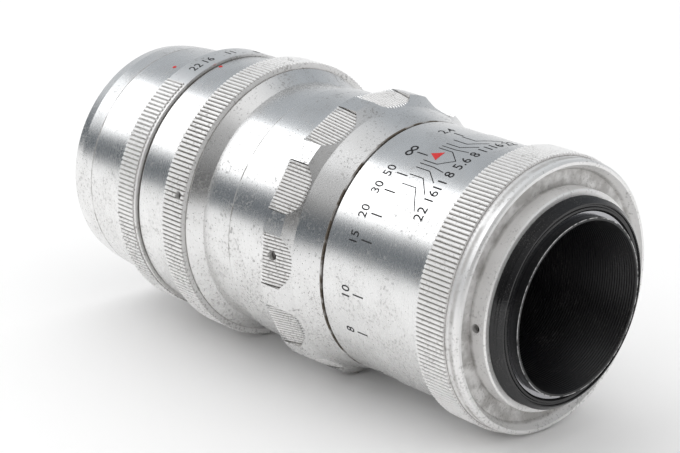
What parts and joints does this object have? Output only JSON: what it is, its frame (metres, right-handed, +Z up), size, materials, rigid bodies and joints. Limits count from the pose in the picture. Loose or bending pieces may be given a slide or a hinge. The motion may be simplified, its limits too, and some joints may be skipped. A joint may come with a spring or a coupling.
{
  "type": "long focus camera lens",
  "caption": "Bare aluminium long-focus camera lens with a screw mount, focusing helicoid, aperture ring and multi-blade iris.",
  "frame": {"origin": "centre of the register plane, where the mount thread leaves the flange", "axes": "+Y along the optical axis towards the camera, front glass towards -Y, +Z up as the lens lies with its focusing index near the top"},
  "size_m": [0.0604, 0.1232, 0.0604],
  "materials": {
    "satin_aluminium": "bare satin aluminium, worn, with fine scratches and grime in the knurling",
    "black_anodised": "semi-matt black anodising",
    "bright_ring": "bright turned metal",
    "screw_steel": "plain steel",
    "blade_steel": "blued spring steel",
    "red_enamel": "red enamel filling",
    "lens_glass": "polished, lightly coated"
  },
  "bodies": {
    "mount": {"mount_body": "satin_aluminium", "thread_collar": "black_anodised", "lock_ring": "bright_ring", "inner_tube": "black_anodised", "collar_set_screw": "screw_steel", "rear_grip_ring": "satin_aluminium", "dof_collar": "satin_aluminium", "index_triangle": "red_enamel", "guide_tube": "satin_aluminium", "focus_retaining_ring": "satin_aluminium", "focus_stop_pin": "screw_steel"},
    "focusing": {"distance_band": "satin_aluminium", "focus_ring": "satin_aluminium", "helicoid_nut": "satin_aluminium", "focus_set_screws": "screw_steel"},
    "head": {"head_tube": "satin_aluminium", "guide_key": "screw_steel", "head_ring": "satin_aluminium", "head_set_screws": "screw_steel", "head_barrel": "satin_aluminium", "red_dots": "red_enamel", "front_barrel": "satin_aluminium", "filter_rim": "satin_aluminium", "front_cell": "black_anodised", "front_crown": "lens_glass", "front_flint": "lens_glass", "front_retaining_ring": "black_anodised", "iris_housing": "black_anodised", "iris_cover_ring": "black_anodised", "rear_cell": "black_anodised", "rear_crown": "lens_glass", "rear_flint": "lens_glass", "rear_retaining_ring": "black_anodised"},
    "aperture": {"aperture_ring": "satin_aluminium", "aperture_drive_screw": "screw_steel", "iris_cam_ring": "black_anodised"},
    "blade_1": {"iris_blade_1": "blade_steel"},
    "blade_2": {"iris_blade_2": "blade_steel"},
    "blade_3": {"iris_blade_3": "blade_steel"},
    "blade_4": {"iris_blade_4": "blade_steel"},
    "blade_5": {"iris_blade_5": "blade_steel"},
    "blade_6": {"iris_blade_6": "blade_steel"},
    "blade_7": {"iris_blade_7": "blade_steel"},
    "blade_8": {"iris_blade_8": "blade_steel"},
    "blade_9": {"iris_blade_9": "blade_steel"},
    "blade_10": {"iris_blade_10": "blade_steel"},
    "blade_11": {"iris_blade_11": "blade_steel"},
    "blade_12": {"iris_blade_12": "blade_steel"}
  },
  "joints": [
    {"name": "focus_turn", "type": "hinge", "parent": "mount", "child": "focusing", "pos_m": [0, -0.045, 0], "axis": [0, -1, 0], "range_deg": [0, 338]},
    {"name": "head_slide", "type": "slide", "parent": "mount", "child": "head", "axis": [0, -1, 0], "range_m": [0, 0.01601]},
    {"name": "aperture_turn", "type": "hinge", "parent": "head", "child": "aperture", "pos_m": [0, -0.097, 0], "axis": [0, 1, 0], "range_deg": [0, 62]},
    {"name": "blade_swing_1", "type": "hinge", "parent": "head", "child": "blade_1", "pos_m": [0.0168, -0.095, 0.0097], "axis": [0, 1, 0], "range_deg": [0, 31.5]},
    {"name": "blade_swing_2", "type": "hinge", "parent": "head", "child": "blade_2", "pos_m": [0.0097, -0.095, 0.0168], "axis": [0, 1, 0], "range_deg": [0, 31.5]},
    {"name": "blade_swing_3", "type": "hinge", "parent": "head", "child": "blade_3", "pos_m": [0, -0.095, 0.0194], "axis": [0, 1, 0], "range_deg": [0, 31.5]},
    {"name": "blade_swing_4", "type": "hinge", "parent": "head", "child": "blade_4", "pos_m": [-0.0097, -0.095, 0.0168], "axis": [0, 1, 0], "range_deg": [0, 31.5]},
    {"name": "blade_swing_5", "type": "hinge", "parent": "head", "child": "blade_5", "pos_m": [-0.0168, -0.095, 0.0097], "axis": [0, 1, 0], "range_deg": [0, 31.5]},
    {"name": "blade_swing_6", "type": "hinge", "parent": "head", "child": "blade_6", "pos_m": [-0.0194, -0.095, 0], "axis": [0, 1, 0], "range_deg": [0, 31.5]},
    {"name": "blade_swing_7", "type": "hinge", "parent": "head", "child": "blade_7", "pos_m": [-0.0168, -0.095, -0.0097], "axis": [0, 1, 0], "range_deg": [0, 31.5]},
    {"name": "blade_swing_8", "type": "hinge", "parent": "head", "child": "blade_8", "pos_m": [-0.0097, -0.095, -0.0168], "axis": [0, 1, 0], "range_deg": [0, 31.5]},
    {"name": "blade_swing_9", "type": "hinge", "parent": "head", "child": "blade_9", "pos_m": [0, -0.095, -0.0194], "axis": [0, 1, 0], "range_deg": [0, 31.5]},
    {"name": "blade_swing_10", "type": "hinge", "parent": "head", "child": "blade_10", "pos_m": [0.0097, -0.095, -0.0168], "axis": [0, 1, 0], "range_deg": [0, 31.5]},
    {"name": "blade_swing_11", "type": "hinge", "parent": "head", "child": "blade_11", "pos_m": [0.0168, -0.095, -0.0097], "axis": [0, 1, 0], "range_deg": [0, 31.5]},
    {"name": "blade_swing_12", "type": "hinge", "parent": "head", "child": "blade_12", "pos_m": [0.0194, -0.095, 0], "axis": [0, 1, 0], "range_deg": [0, 31.5]}
  ],
  "couplings": [
    {"joint": "head_slide", "follows": "focus_turn", "m_per_rad": 0.0027122},
    {"joint": "blade_swing_1", "follows": "aperture_turn", "ratio": 0.50649},
    {"joint": "blade_swing_2", "follows": "aperture_turn", "ratio": 0.50649},
    {"joint": "blade_swing_3", "follows": "aperture_turn", "ratio": 0.50649},
    {"joint": "blade_swing_4", "follows": "aperture_turn", "ratio": 0.50649},
    {"joint": "blade_swing_5", "follows": "aperture_turn", "ratio": 0.50649},
    {"joint": "blade_swing_6", "follows": "aperture_turn", "ratio": 0.50649},
    {"joint": "blade_swing_7", "follows": "aperture_turn", "ratio": 0.50649},
    {"joint": "blade_swing_8", "follows": "aperture_turn", "ratio": 0.50649},
    {"joint": "blade_swing_9", "follows": "aperture_turn", "ratio": 0.50649},
    {"joint": "blade_swing_10", "follows": "aperture_turn", "ratio": 0.50649},
    {"joint": "blade_swing_11", "follows": "aperture_turn", "ratio": 0.50649},
    {"joint": "blade_swing_12", "follows": "aperture_turn", "ratio": 0.50649}
  ]
}
